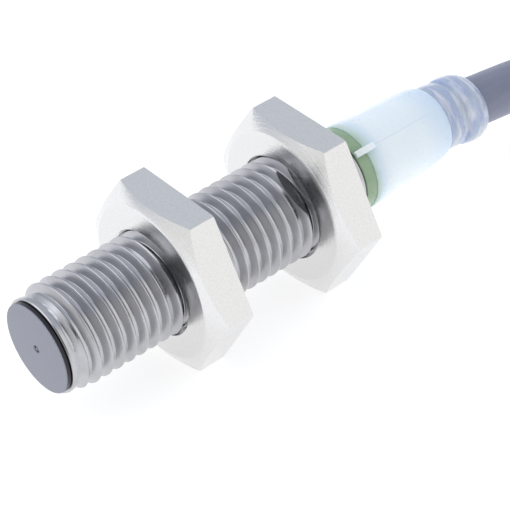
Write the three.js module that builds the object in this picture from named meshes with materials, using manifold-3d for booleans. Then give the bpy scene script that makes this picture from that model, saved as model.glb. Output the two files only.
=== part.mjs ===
// M8 x 1 inductive proximity sensor with a cable, in millimetres.
// The barrel's axis is Y: the sensing face looks toward -Y from the origin, and the cable leaves toward +Y.
// The sensor lies on the flats of its two nuts, so what it stands on is half a nut below the axis.

import * as THREE from 'three';
import { mergeVertices } from 'three/addons/utils/BufferGeometryUtils.js';
import Module from 'manifold-3d';

const wasm = await Module();
wasm.setup();

// Driving dimensions
const PITCH = 1;
const CREST_RADIUS = 3.95;
const ROOT_RADIUS = 3.39;
const BORE_RADIUS = 2.95;
const BARREL_FRONT = 0.4;
const BARREL_REAR = 27.4;
const RIM_RADIUS = 3.6;
const THREAD_START = 1.4;
const THREAD_TURNS = 25;
const THREAD_SIDES = 16;
const SPANNER_FLAT = 3.5;
const SPANNER_ANGLE = 55;
const SPANNER_FRONT = 20.6;
const NUT_ACROSS_FLATS = 13;
const NUT_THICKNESS = 3;
const NUT_BORE_RADIUS = 4.15;
const NUT_FACE_RADIUS = 5.9;
const FRONT_NUT_FACE = 9.8;
const REAR_NUT_FACE = 21.9;
const CAP_RADIUS = 3.4;
const CUP_RADIUS = 2.85;
const SLEEVE_END = 29.3;
const END_CAP_FRONT = 28.5;
const END_CAP_REAR = 36.9;
const GROMMET_REAR = 41.2;
// The soft grommet bends over this length and then sags by this much for each millimetre
const SAG_BEND = 1.1;
const SAG_SLOPE = 0.14;
const BOARD_WIDTH = 4.4;
const BOARD_THICKNESS = 0.8;
const BOARD_FRONT = 3.8;
const BOARD_REAR = 30.4;
const CABLE_DIAMETER = 4;
const CORE_DIAMETER = 1.1;
const CORE_SPREAD = 1.25;
const SURFACE = -NUT_ACROSS_FLATS / 2;
const GAP = 0.3;

// The hank: two columns of turns in five layers, with round end loops and a tied waist
const OUTER_LOOP = 16;
const HANK_LAYERS = 5;
const HANK_X = 10;
const HANK_NEAR_Y = 84;
const HANK_FAR_Y = 134;
const WAIST_HALF = 8;
const WAIST_LONG = 20;
const TIE_THICKNESS = 1;
const TIE_WIDTH = 4.8;

const CABLE_RADIUS = CABLE_DIAMETER / 2;
const HANK_MID_Y = (HANK_NEAR_Y + HANK_FAR_Y) / 2;
const HANK_TOP = SURFACE + HANK_LAYERS * CABLE_DIAMETER;
const WAIST_TOP = HANK_TOP + TIE_THICKNESS + GAP;
const HANK_LOOP = OUTER_LOOP + CABLE_RADIUS;
const ROUND = 24;

const model = new THREE.Group();

function finish(colour, roughness, metalness, opacity = 1) {
  return new THREE.MeshStandardMaterial({
    color: colour, roughness, metalness, opacity, transparent: opacity < 1,
  });
}

const FINISHES = {
  nickel: finish(0xdedfe2, 0.25, 1),
  steel: finish(0x9c9ba3, 0.3, 1),
  facePlastic: finish(0x9ca0ab, 0.55, 0),
  greenPlastic: finish(0x5f8f58, 0.5, 0),
  milkyPlastic: finish(0xd6e6f4, 0.35, 0, 0.85),
  clearPlastic: finish(0xa9b7d2, 0.2, 0, 0.6),
  ferrite: finish(0x35353a, 0.8, 0),
  copper: finish(0xb8703c, 0.35, 1),
  board: finish(0x2f6b3e, 0.6, 0),
  chip: finish(0x202022, 0.6, 0),
  ceramic: finish(0xb59a72, 0.6, 0),
  led: finish(0xe8b53a, 0.3, 0, 0.9),
  resin: finish(0x4a4a50, 0.5, 0),
  jacket: finish(0x3c404c, 0.5, 0),
  tie: finish(0xe8e8e4, 0.5, 0),
  brown: finish(0x6b4226, 0.5, 0),
  blue: finish(0x2456a6, 0.5, 0),
  black: finish(0x1c1c1e, 0.5, 0),
  tin: finish(0xc9c9cc, 0.35, 1),
};

function add(name, geometry, material, parent = model) {
  const mesh = new THREE.Mesh(geometry, material);
  mesh.name = name;
  parent.add(mesh);
  return mesh;
}

// A solid of revolution about Y from [radius, y] corners, listed so that the solid is on their left.
function revolve(profile, segments = ROUND) {
  const points = profile.map(([radius, y]) => new THREE.Vector2(radius, y));
  if (profile[0][0] > 0) points.push(points[0].clone());
  return new THREE.LatheGeometry(points, segments);
}

function box(width, length, height, x, y, z) {
  const geometry = new THREE.BoxGeometry(width, length, height);
  geometry.translate(x, y, z);
  return geometry;
}

function toSolid(geometry) {
  const bare = geometry.clone();
  bare.deleteAttribute('normal');
  bare.deleteAttribute('uv');
  const merged = mergeVertices(bare, 1e-4);
  const corners = merged.index.array;
  const kept = [];
  for (let i = 0; i < corners.length; i += 3) {
    const [a, b, c] = corners.slice(i, i + 3);
    if (a !== b && b !== c && c !== a) kept.push(a, b, c);
  }
  return new wasm.Manifold(new wasm.Mesh({
    numProp: 3,
    vertProperties: new Float32Array(merged.attributes.position.array),
    triVerts: new Uint32Array(kept),
  }));
}

function toGeometry(solid) {
  const mesh = solid.getMesh();
  const geometry = new THREE.BufferGeometry();
  geometry.setAttribute('position', new THREE.BufferAttribute(mesh.vertProperties, 3));
  geometry.setIndex(new THREE.BufferAttribute(mesh.triVerts, 1));
  return geometry;
}

// The barrel's profile: a rim, straight ribs a pitch apart, and the bore. windThread makes a helix of the ribs.
function barrelProfile() {
  const crestHalf = 0.1;
  const rootHalf = crestHalf + (CREST_RADIUS - ROOT_RADIUS) * Math.tan(Math.PI / 6);
  const front = [
    [BORE_RADIUS, BARREL_FRONT],
    [RIM_RADIUS - 0.1, BARREL_FRONT],
    [RIM_RADIUS, BARREL_FRONT + 0.1],
    [RIM_RADIUS, BARREL_FRONT + 0.35],
    [ROOT_RADIUS, THREAD_START - PITCH / 2],
  ];
  const ribs = [];
  for (let rib = 0; rib <= THREAD_TURNS; rib += 1) {
    const y = THREAD_START + rib * PITCH;
    ribs.push([ROOT_RADIUS, y - rootHalf]);
    ribs.push([CREST_RADIUS, y - crestHalf]);
    ribs.push([CREST_RADIUS, y + crestHalf]);
    ribs.push([ROOT_RADIUS, y + rootHalf]);
  }
  const rear = [
    [ROOT_RADIUS, THREAD_START + (THREAD_TURNS + 0.5) * PITCH],
    [ROOT_RADIUS, BARREL_REAR],
    [BORE_RADIUS, BARREL_REAR],
  ];
  return { front, ribs, rear };
}

// Shears the ribs by one pitch in one turn, so that each rib's end meets the next one's start.
// The first rib grows out of the front of the thread, and the last one runs out into its rear.
function windThread(geometry, { front, ribs, rear }) {
  const place = geometry.attributes.position;
  const count = front.length + ribs.length + rear.length + 1;
  const perRib = 4;
  const before = front[front.length - 1];
  const after = rear[0];
  for (let i = 0; i < place.count; i += 1) {
    const side = Math.floor(i / count);
    const point = (i % count) - front.length;
    if (point < 0 || point >= ribs.length) continue;
    const turn = side / THREAD_SIDES;
    let [radius, y] = ribs[point];
    y += (turn - 0.5) * PITCH;
    const far = y + (1 - turn) * PITCH;
    const near = y - turn * PITCH;
    if (point < perRib) {
      y = before[1] + (far - before[1]) * turn;
      radius = before[0] + (radius - before[0]) * turn;
    } else if (point >= ribs.length - perRib) {
      y = near + (after[1] - near) * turn;
      radius += (after[0] - radius) * turn;
    }
    const angle = (side % THREAD_SIDES) / THREAD_SIDES * 2 * Math.PI;
    place.setXYZ(i, radius * Math.sin(angle), y, radius * Math.cos(angle));
  }
  return geometry;
}

// A block that mills one spanner flat: its inner face stands SPANNER_FLAT from the axis.
function flatCutter(angle) {
  const reach = 3;
  const cutter = new THREE.BoxGeometry(reach, BARREL_REAR + 1 - SPANNER_FRONT, 3 * CREST_RADIUS);
  cutter.translate(SPANNER_FLAT + reach / 2, (BARREL_REAR + 1 + SPANNER_FRONT) / 2, 0);
  cutter.rotateY(THREE.MathUtils.degToRad(-angle));
  return cutter;
}

function barrel() {
  const profile = barrelProfile();
  const ribbed = revolve([...profile.front, ...profile.ribs, ...profile.rear], THREAD_SIDES);
  const solid = toSolid(windThread(ribbed, profile))
    .subtract(toSolid(flatCutter(SPANNER_ANGLE)))
    .subtract(toSolid(flatCutter(SPANNER_ANGLE + 180)));
  return toGeometry(solid);
}

// A hex nut whose front side is chamfered at 30 degrees and whose rear side is plain.
function nut(face) {
  const corner = NUT_ACROSS_FLATS / Math.sqrt(3);
  const slope = Math.tan(Math.PI / 6);
  const prism = new THREE.CylinderGeometry(corner, corner, NUT_THICKNESS, 6);
  prism.rotateY(Math.PI / 6);
  prism.translate(0, face + NUT_THICKNESS / 2, 0);
  const outside = corner + 1;
  const turned = revolve([
    [0, face],
    [NUT_FACE_RADIUS, face],
    [outside, face + (outside - NUT_FACE_RADIUS) * slope],
    [outside, face + NUT_THICKNESS + 1],
    [0, face + NUT_THICKNESS + 1],
  ], 36);
  const hole = revolve([
    [0, face - 1],
    [NUT_BORE_RADIUS + 1, face - 1],
    [NUT_BORE_RADIUS, face + 0.2],
    [NUT_BORE_RADIUS, face + NUT_THICKNESS - 0.2],
    [NUT_BORE_RADIUS + 1, face + NUT_THICKNESS + 1],
    [0, face + NUT_THICKNESS + 1],
  ]);
  return toGeometry(toSolid(prism).intersect(toSolid(turned)).subtract(toSolid(hole)));
}

function sensingFaceCap() {
  const flange = BARREL_FRONT - 0.05;
  return revolve([
    [0, 0],
    [CAP_RADIUS - 0.1, 0],
    [CAP_RADIUS, 0.1],
    [CAP_RADIUS, flange],
    [CUP_RADIUS, flange],
    [CUP_RADIUS, 5],
    [CUP_RADIUS - 0.4, 5],
    [CUP_RADIUS - 0.4, 0.6],
    [0, 0.6],
  ]);
}

function ferriteCore() {
  return revolve([
    [0, 0.65],
    [0.85, 0.65],
    [0.85, 2.5],
    [1.95, 2.5],
    [1.95, 0.65],
    [2.35, 0.65],
    [2.35, 3.3],
    [0, 3.3],
  ]);
}

function coilBobbin() {
  return revolve([
    [0.95, 0.75],
    [1.88, 0.75],
    [1.88, 0.9],
    [1.1, 0.9],
    [1.1, 2.25],
    [1.88, 2.25],
    [1.88, 2.4],
    [0.95, 2.4],
  ]);
}

function sensingCoil() {
  return revolve([
    [1.15, 0.95],
    [1.82, 0.95],
    [1.82, 2.2],
    [1.15, 2.2],
  ]);
}

function pottingResin() {
  const front = 5.6;
  const rear = 26;
  const fill = revolve([
    [0, front],
    [2.8, front],
    [2.8, rear],
    [0, rear],
  ]);
  const middle = (front + rear) / 2;
  const boardSlot = box(BOARD_WIDTH + 0.3, rear - front + 2, BOARD_THICKNESS + 0.4, 0, middle, 0);
  const partSlot = box(3.2, rear - front + 2, 1.2, 0, middle, 0.9);
  return toGeometry(toSolid(fill).subtract(toSolid(boardSlot)).subtract(toSolid(partSlot)));
}

function locatingSleeve() {
  return revolve([
    [2.55, 26.3],
    [CUP_RADIUS, 26.3],
    [CUP_RADIUS, BARREL_REAR + 0.1],
    [3.3, BARREL_REAR + 0.1],
    [3.3, END_CAP_FRONT - 0.1],
    [3.05, END_CAP_FRONT - 0.1],
    [3.05, SLEEVE_END],
    [2.55, SLEEVE_END],
  ]);
}

// The milky cap, with a key tab that reaches forward over the sleeve to the barrel.
function endCap() {
  const shell = revolve([
    [3.1, END_CAP_FRONT],
    [3.45, END_CAP_FRONT],
    [3.38, 29.6],
    [3.24, 31.6],
    [3.12, 34.7],
    [2.98, 36.3],
    [2.88, 36.7],
    [2.7, END_CAP_REAR],
    [2.6, END_CAP_REAR],
    [2.6, 29.7],
    [3.1, 29.4],
  ]);
  const tab = new THREE.BoxGeometry(0.3, 1.8, 0.5);
  tab.translate(3.5, BARREL_REAR + 0.1 + 0.9, 0);
  tab.rotateY(THREE.MathUtils.degToRad(-SPANNER_ANGLE));
  return toGeometry(toSolid(shell).add(toSolid(tab)));
}

// How far the grommet's free end, and the cable in it, hang below the axis.
function sag(y) {
  const past = Math.max(0, y - END_CAP_REAR);
  if (past < SAG_BEND) return (SAG_SLOPE * past * past) / (2 * SAG_BEND);
  return SAG_SLOPE * (past - SAG_BEND / 2);
}

function cableGrommet() {
  const ring = revolve([
    [2.15, 35.3],
    [2.5, 35.3],
    [2.5, END_CAP_REAR],
    [2.66, END_CAP_REAR + 0.05],
    [2.66, 38.75],
    [2.46, 38.85],
    [2.46, 39],
    [2.74, 39.15],
    [2.82, 39.9],
    [2.76, 40.6],
    [2.6, 41],
    [2.4, GROMMET_REAR],
    [2.35, GROMMET_REAR],
    [2.15, 40.4],
    [2.15, END_CAP_REAR + SAG_BEND],
    [2.15, END_CAP_REAR],
  ]);
  const place = ring.attributes.position;
  for (let i = 0; i < place.count; i += 1) place.setZ(i, place.getZ(i) - sag(place.getY(i)));
  ring.computeVertexNormals();
  return ring;
}

function crimpRing() {
  return revolve([
    [2.1, 33.4],
    [2.45, 33.4],
    [2.45, 34.9],
    [2.1, 34.9],
  ]);
}

// A round bar of the given diameter along a smooth curve through the points.
function tube(points, diameter, sides, steps) {
  const section = new THREE.Shape();
  section.absellipse(0, 0, diameter / 2, diameter / 2, 0, 2 * Math.PI, false, 0);
  const route = new THREE.CatmullRomCurve3(points.map((p) => new THREE.Vector3(...p)), false, 'centripetal');
  return new THREE.ExtrudeGeometry(section, {
    steps, curveSegments: sides / 4, extrudePath: route, bevelEnabled: false,
  });
}

function straight(from, to, diameter, sides = 8) {
  return tube([from, to], diameter, sides, 1);
}

// From the crimp ring out through the grommet, down to the surface and along it to the hank's near end
const CABLE_ROUTE = [
  [0, 33, 0],
  [0, 36, 0],
  [0, 37, 0],
  [0, 38, -0.077],
  [0, 40, -0.357],
  [0, 41.5, -0.567],
  [0.02, 43.3, -0.82],
  [0.03, 45, -1.06],
  [0.05, 46.8, -1.33],
  [0.05, 49, -1.75],
  [0, 51, -2.22],
  [-0.15, 53, -2.74],
  [-0.45, 55, -3.27],
  [-0.95, 57.3, -3.8],
  [-1.7, 60, -4.22],
  [-2.65, 63, -4.45],
  [-3.65, 66, -4.5],
  [-4.55, 69, -4.5],
  [-5.3, 71.8, -4.5],
];

function hankOutline() {
  const outline = new THREE.Shape();
  const near = HANK_NEAR_Y;
  const far = HANK_FAR_Y;
  const bend = (far - near) / 5;
  outline.moveTo(HANK_X + HANK_LOOP, near);
  outline.bezierCurveTo(
    HANK_X + HANK_LOOP, near + bend, HANK_X + WAIST_HALF, HANK_MID_Y - bend, HANK_X + WAIST_HALF, HANK_MID_Y - 2,
  );
  outline.lineTo(HANK_X + WAIST_HALF, HANK_MID_Y + 2);
  outline.bezierCurveTo(
    HANK_X + WAIST_HALF, HANK_MID_Y + bend, HANK_X + HANK_LOOP, far - bend, HANK_X + HANK_LOOP, far,
  );
  outline.absarc(HANK_X, far, HANK_LOOP, 0, Math.PI, false);
  outline.bezierCurveTo(
    HANK_X - HANK_LOOP, far - bend, HANK_X - WAIST_HALF, HANK_MID_Y + bend, HANK_X - WAIST_HALF, HANK_MID_Y + 2,
  );
  outline.lineTo(HANK_X - WAIST_HALF, HANK_MID_Y - 2);
  outline.bezierCurveTo(
    HANK_X - WAIST_HALF, HANK_MID_Y - bend, HANK_X - HANK_LOOP, near + bend, HANK_X - HANK_LOOP, near,
  );
  outline.absarc(HANK_X, near, HANK_LOOP, Math.PI, 2 * Math.PI, false);
  return outline;
}

// The turns lie on the surface, and rise at the waist by the thickness of the strap that runs under them.
function cableHank() {
  const turns = new THREE.ExtrudeGeometry(hankOutline(), {
    depth: HANK_TOP - SURFACE, curveSegments: 16, bevelEnabled: false,
  });
  turns.translate(0, 0, SURFACE);
  const rise = WAIST_TOP - HANK_TOP;
  const waist = box(2 * WAIST_HALF, WAIST_LONG, 2 * rise, HANK_X, HANK_MID_Y, HANK_TOP);
  const strapWay = box(6 * WAIST_HALF, TIE_WIDTH + 2 * GAP, 2 * rise, HANK_X, HANK_MID_Y, SURFACE);
  return toGeometry(toSolid(turns).add(toSolid(waist)).subtract(toSolid(strapWay)));
}

// A strap round the waist, with its locking head on one side
function hankTie() {
  const bottom = SURFACE + TIE_THICKNESS;
  const top = WAIST_TOP + GAP;
  const corner = 0.8;
  const loop = (offset) => {
    const edge = WAIST_HALF + GAP + offset;
    const low = bottom - offset;
    const high = top + offset;
    const shape = new THREE.Shape();
    shape.moveTo(-edge + corner, low);
    shape.lineTo(edge - corner, low);
    shape.quadraticCurveTo(edge, low, edge, low + corner);
    shape.lineTo(edge, high - corner);
    shape.quadraticCurveTo(edge, high, edge - corner, high);
    shape.lineTo(-edge + corner, high);
    shape.quadraticCurveTo(-edge, high, -edge, high - corner);
    shape.lineTo(-edge, low + corner);
    shape.quadraticCurveTo(-edge, low, -edge + corner, low);
    return shape;
  };
  const outer = loop(TIE_THICKNESS);
  outer.holes.push(loop(0));
  const strap = new THREE.ExtrudeGeometry(outer, { depth: TIE_WIDTH, curveSegments: 5, bevelEnabled: false });
  strap.rotateX(Math.PI / 2);
  strap.translate(HANK_X, HANK_MID_Y + TIE_WIDTH / 2, 0);
  const headWide = 4;
  const headX = HANK_X + WAIST_HALF + GAP + TIE_THICKNESS / 2 + headWide / 2;
  const head = box(headWide, 7, 6, headX, HANK_MID_Y, (bottom + top) / 2);
  return toGeometry(toSolid(strap).add(toSolid(head)));
}

function buildSensor() {
  add('sensing_face_cap', sensingFaceCap(), FINISHES.facePlastic);
  add('barrel', barrel(), FINISHES.steel);
  add('front_nut', nut(FRONT_NUT_FACE), FINISHES.nickel);
  add('rear_nut', nut(REAR_NUT_FACE), FINISHES.nickel);
  add('ferrite_core', ferriteCore(), FINISHES.ferrite);
  add('coil_bobbin', coilBobbin(), FINISHES.chip);
  add('sensing_coil', sensingCoil(), FINISHES.copper);
  add('potting_resin', pottingResin(), FINISHES.resin);
  add('locating_sleeve', locatingSleeve(), FINISHES.greenPlastic);
  add('end_cap', endCap(), FINISHES.milkyPlastic);
  add('cable_grommet', cableGrommet(), FINISHES.clearPlastic);
  add('crimp_ring', crimpRing(), FINISHES.tin);
}

function buildBoard() {
  const top = BOARD_THICKNESS / 2 + 0.02;
  const length = BOARD_REAR - BOARD_FRONT;
  const board = box(BOARD_WIDTH, length, BOARD_THICKNESS, 0, BOARD_FRONT + length / 2, 0);
  add('circuit_board', board, FINISHES.board);
  const place = (name, width, long, height, y, material) => {
    add(name, box(width, long, height, 0, y, top + height / 2), material);
  };
  place('sensor_chip', 2.6, 3, 0.8, 9, FINISHES.chip);
  place('filter_capacitor', 1.2, 2, 0.9, 12.8, FINISHES.ceramic);
  place('load_resistor', 1.2, 2, 0.5, 15.8, FINISHES.chip);
  place('output_transistor', 1.5, 2.8, 0.9, 19.4, FINISHES.chip);
  place('protection_diode', 1.5, 2.4, 0.9, 23.2, FINISHES.chip);
  const ledHeight = 0.7;
  const ledY = SLEEVE_END;
  add('status_led_upper', box(1.2, 1.6, ledHeight, 0, ledY, top + ledHeight / 2), FINISHES.led);
  add('status_led_lower', box(1.2, 1.6, ledHeight, 0, ledY, -top - ledHeight / 2), FINISHES.led);
}

// The three insulated cores: from the board into the jacket, and bare of the jacket again on top of the hank
function buildCores() {
  const innerEnd = CABLE_ROUTE[0][1] - GAP;
  const innerStart = BOARD_REAR + GAP;
  const stripped = 6;
  const restZ = HANK_TOP + GAP + CORE_DIAMETER / 2;
  const leadX = HANK_X + 5;
  const leadStart = HANK_MID_Y - WAIST_LONG / 2 - GAP;
  const leadEnd = leadStart - 22;
  const cores = [
    ['brown', -CORE_SPREAD],
    ['blue', 0],
    ['black', CORE_SPREAD],
  ];
  for (const [colour, side] of cores) {
    const core = straight([side, innerStart, 0], [side, innerEnd, 0], CORE_DIAMETER);
    add(`core_${colour}`, core, FINISHES[colour]);
    const points = [
      [leadX + side, leadStart, restZ],
      [leadX + side * 1.4, leadStart - 7, restZ],
      [leadX + side * 2.2, leadStart - 14, restZ],
      [leadX + side * 3, leadEnd, restZ],
    ];
    add(`lead_${colour}`, tube(points, CORE_DIAMETER, 8, 10), FINISHES[colour]);
    const lean = side * 0.1;
    const tipStart = [points[3][0] + lean * GAP, leadEnd - GAP, restZ];
    const tipEnd = [points[3][0] + lean * stripped, leadEnd - stripped, restZ];
    add(`tip_${colour}`, straight(tipStart, tipEnd, 0.6), FINISHES.tin);
  }
}

function buildCable() {
  add('cable', tube(CABLE_ROUTE, CABLE_DIAMETER, 12, 40), FINISHES.jacket);
  add('cable_hank', cableHank(), FINISHES.jacket);
  add('hank_tie', hankTie(), FINISHES.tie);
}

buildSensor();
buildBoard();
buildCores();
buildCable();

export default model;
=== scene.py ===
"""Looks of a small threaded proximity sensor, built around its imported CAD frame.

Sizes are in millimetres, and a finished mesh is scaled to metres with its object at the origin, unturned. The barrel's
axis is Y. The sensing face looks toward -Y from the origin, and the sensor lies on its two nuts.
"""

from __future__ import annotations

import logging
import math
from collections.abc import Callable, Iterable, Sequence
from dataclasses import dataclass, field
from enum import Enum

import bmesh
import bpy
from bmesh.types import BMesh
from mathutils import Matrix, Vector


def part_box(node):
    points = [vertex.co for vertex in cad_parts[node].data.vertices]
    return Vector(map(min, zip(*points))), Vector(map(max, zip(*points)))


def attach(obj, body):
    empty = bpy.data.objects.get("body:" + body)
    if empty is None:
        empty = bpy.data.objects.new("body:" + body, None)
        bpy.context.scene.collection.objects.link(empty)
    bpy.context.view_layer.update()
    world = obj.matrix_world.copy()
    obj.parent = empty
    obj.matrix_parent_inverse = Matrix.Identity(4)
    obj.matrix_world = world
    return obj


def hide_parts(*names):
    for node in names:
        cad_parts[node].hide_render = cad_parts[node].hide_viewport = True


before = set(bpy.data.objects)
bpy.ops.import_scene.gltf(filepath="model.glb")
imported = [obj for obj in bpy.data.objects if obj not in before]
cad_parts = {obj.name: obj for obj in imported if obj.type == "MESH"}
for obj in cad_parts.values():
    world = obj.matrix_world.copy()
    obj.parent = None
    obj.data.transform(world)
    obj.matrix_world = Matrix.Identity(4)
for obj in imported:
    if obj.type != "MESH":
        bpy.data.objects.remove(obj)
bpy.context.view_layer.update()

LOG = logging.getLogger("sensor")
MM = 0.001
FULL_TURN = 2 * math.pi
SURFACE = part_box("front_nut")[0].z / MM
Colour = tuple[float, float, float]
Corner = tuple[float, float, float]
Edge = bmesh.types.BMEdge
Vert = bmesh.types.BMVert
Socket = bpy.types.NodeSocket


# Shaping --------------------------------------------------------------------------------------------------------------


class Cut(Enum):
    """What a boolean leaves of a piece."""

    REMOVE = "DIFFERENCE"
    KEEP = "INTERSECT"
    JOIN = "UNION"


class Body(Enum):
    """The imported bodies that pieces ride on."""

    SENSOR = "sensor"
    FRONT_NUT = "front_nut"
    REAR_NUT = "rear_nut"


def outline(corners: Sequence[Corner], arc_steps: int = 5) -> list[Vector]:
    """Rounds the corners of a turned profile.

    Args:
        corners: Radius, y and rounding of each corner, in millimetres.
        arc_steps: Steps in each rounded corner.

    Returns:
        The profile's points, as radius and y.
    """
    points = []
    for index, (radius, y, rounding) in enumerate(corners):
        here = Vector((radius, y))
        if rounding == 0:
            points.append(here)
            continue
        ends = []
        for other in (corners[index - 1], corners[(index + 1) % len(corners)]):
            side = Vector(other[:2]) - here
            ends.append(here + side.normalized() * min(rounding, 0.45 * side.length))
        for step in range(arc_steps + 1):
            share = step / arc_steps
            points.append(ends[0].lerp(here, share).lerp(here.lerp(ends[1], share), share))
    return points


def spun(points: Sequence[Vector], steps: int = 96) -> BMesh:
    """Turns a profile about Y into a closed solid.

    Args:
        points: Radius and y of each point. The profile closes on itself unless it starts on the axis.
        steps: Steps in the full turn.

    Returns:
        The solid, with its normals outward.
    """
    solid = bmesh.new()
    verts = [solid.verts.new((point.x, point.y, 0)) for point in points]
    edges = [solid.edges.new(pair) for pair in zip(verts, verts[1:])]
    if points[0].x > 0:
        edges.append(solid.edges.new((verts[-1], verts[0])))
    bmesh.ops.spin(
        solid, geom=verts + edges, cent=(0, 0, 0), axis=(0, 1, 0), angle=FULL_TURN, steps=steps, use_merge=True
    )
    bmesh.ops.remove_doubles(solid, verts=solid.verts, dist=1e-5)
    bmesh.ops.recalc_face_normals(solid, faces=solid.faces)
    return solid


def sag(y: float, start: float = 36.9, bend: float = 1.1, slope: float = 0.14) -> float:
    """How far the soft grommet's free end, and the cable in it, hang below the axis."""
    past = max(0.0, y - start)
    return slope * past * past / (2 * bend) if past < bend else slope * (past - bend / 2)


def block(size: Sequence[float], place: Matrix, rounding: float = 0.0) -> BMesh:
    """A block with rounded edges.

    Args:
        size: Its width, length and height.
        place: Where its centre goes, and how it is turned.
        rounding: The width of its rounded edges, or 0 for sharp ones.

    Returns:
        The block.
    """
    solid = bmesh.new()
    bmesh.ops.create_cube(solid, size=1)
    bmesh.ops.scale(solid, vec=size, verts=solid.verts)
    if rounding:
        round_edges(solid, solid.edges[:], rounding)
    bmesh.ops.transform(solid, matrix=place, verts=solid.verts)
    return solid


def round_edges(solid: BMesh, edges: Iterable[Edge], width: float, segments: int = 2) -> None:
    """Rounds some of a solid's edges."""
    bmesh.ops.bevel(
        solid, geom=list(edges), offset=width, offset_type="OFFSET", segments=segments, profile=0.5,
        affect="EDGES", clamp_overlap=True, material=-1,
    )


def loose_object(solid: BMesh, name: str = "stock") -> bpy.types.Object:
    """Puts a mesh into the scene as an object of its own, and frees the mesh that it came from."""
    mesh = bpy.data.meshes.new(name)
    solid.to_mesh(mesh)
    solid.free()
    thing = bpy.data.objects.new(name, mesh)
    bpy.context.scene.collection.objects.link(thing)
    return thing


def carve(stock: BMesh, tool: BMesh, cut: Cut) -> BMesh:
    """Cuts or joins two solids.

    Args:
        stock: The solid that is worked on. It is freed.
        tool: The other solid. It is freed.
        cut: What is left.

    Returns:
        The result.
    """
    worked, cutter = loose_object(stock), loose_object(tool)
    modifier = worked.modifiers.new("cut", "BOOLEAN")
    modifier.operation = cut.value
    modifier.solver = "EXACT"
    modifier.object = cutter
    evaluated = worked.evaluated_get(bpy.context.evaluated_depsgraph_get())
    result = bmesh.new()
    result.from_mesh(evaluated.to_mesh())
    evaluated.to_mesh_clear()
    for thing in (worked, cutter):
        mesh = thing.data
        bpy.data.objects.remove(thing)
        bpy.data.meshes.remove(mesh)
    bmesh.ops.remove_doubles(result, verts=result.verts, dist=1e-4)
    bmesh.ops.dissolve_degenerate(result, edges=result.edges, dist=1e-4)
    return result


def lengthwise(solid: BMesh, least: float) -> list[Edge]:
    """The edges that reach further than this along the axis."""
    return [e for e in solid.edges if abs(e.verts[0].co.y - e.verts[1].co.y) > least]


def new_verts(made: Iterable[object]) -> list[Vert]:
    """The vertices among what an operator made."""
    return [item for item in made if isinstance(item, Vert)]


def grow_ring(solid: BMesh, edges: list[Edge], stations: Sequence[tuple[float, float]]) -> list[Edge]:
    """Extrudes a round rim through stations along the axis.

    Args:
        solid: The mesh that has the rim.
        edges: The rim's edges.
        stations: Radius and y of each new ring.

    Returns:
        The last ring's edges.
    """
    for radius, y in stations:
        made = bmesh.ops.extrude_edge_only(solid, edges=edges)["geom"]
        for vert in new_verts(made):
            direction = Vector((vert.co.x, 0, vert.co.z)).normalized()
            vert.co = direction * radius + Vector((0, y, 0))
        edges = [item for item in made if isinstance(item, Edge) and item.is_boundary]
    return edges


def piece(
    solid: BMesh,
    name: str,
    material: bpy.types.Material,
    body: Body = Body.SENSOR,
    replaces: str | None = None,
    crease: float = 35.0,
    flat_sides: bool = False,
) -> bpy.types.Object:
    """Turns a mesh in millimetres into a finished piece on its body.

    Args:
        solid: The mesh. It is freed.
        name: The piece's name.
        material: Its finish.
        body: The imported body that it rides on.
        replaces: The CAD node that it stands for.
        crease: Edges sharper than this many degrees stay crisp.
        flat_sides: Whether its broad faces are shaded flat, up to their rounded edges.

    Returns:
        The piece.
    """
    bmesh.ops.scale(solid, vec=(MM, MM, MM), verts=solid.verts)
    thing = loose_object(solid, name)
    thing.data.materials.append(material)
    thing.data.shade_smooth()
    thing.data.set_sharp_from_angle(angle=math.radians(crease))
    if flat_sides:
        weights = thing.modifiers.new("flat sides", "WEIGHTED_NORMAL")
        weights.keep_sharp = True
        weights.weight = 100
    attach(thing, body.value)
    if replaces:
        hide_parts(replaces)
    LOG.info("%s: %d faces", name, len(thing.data.polygons))
    return thing


# Finishes -------------------------------------------------------------------------------------------------------------


def fill_ramp(node: bpy.types.Node, stops: Sequence[tuple[float, Colour]]) -> None:
    """Sets a colour ramp's stops, in order."""
    elements = node.color_ramp.elements
    while len(elements) < len(stops):
        elements.new(0.5)
    for element, (place, colour) in zip(elements, stops):
        element.position = place
        element.color = (*colour, 1)


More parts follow.
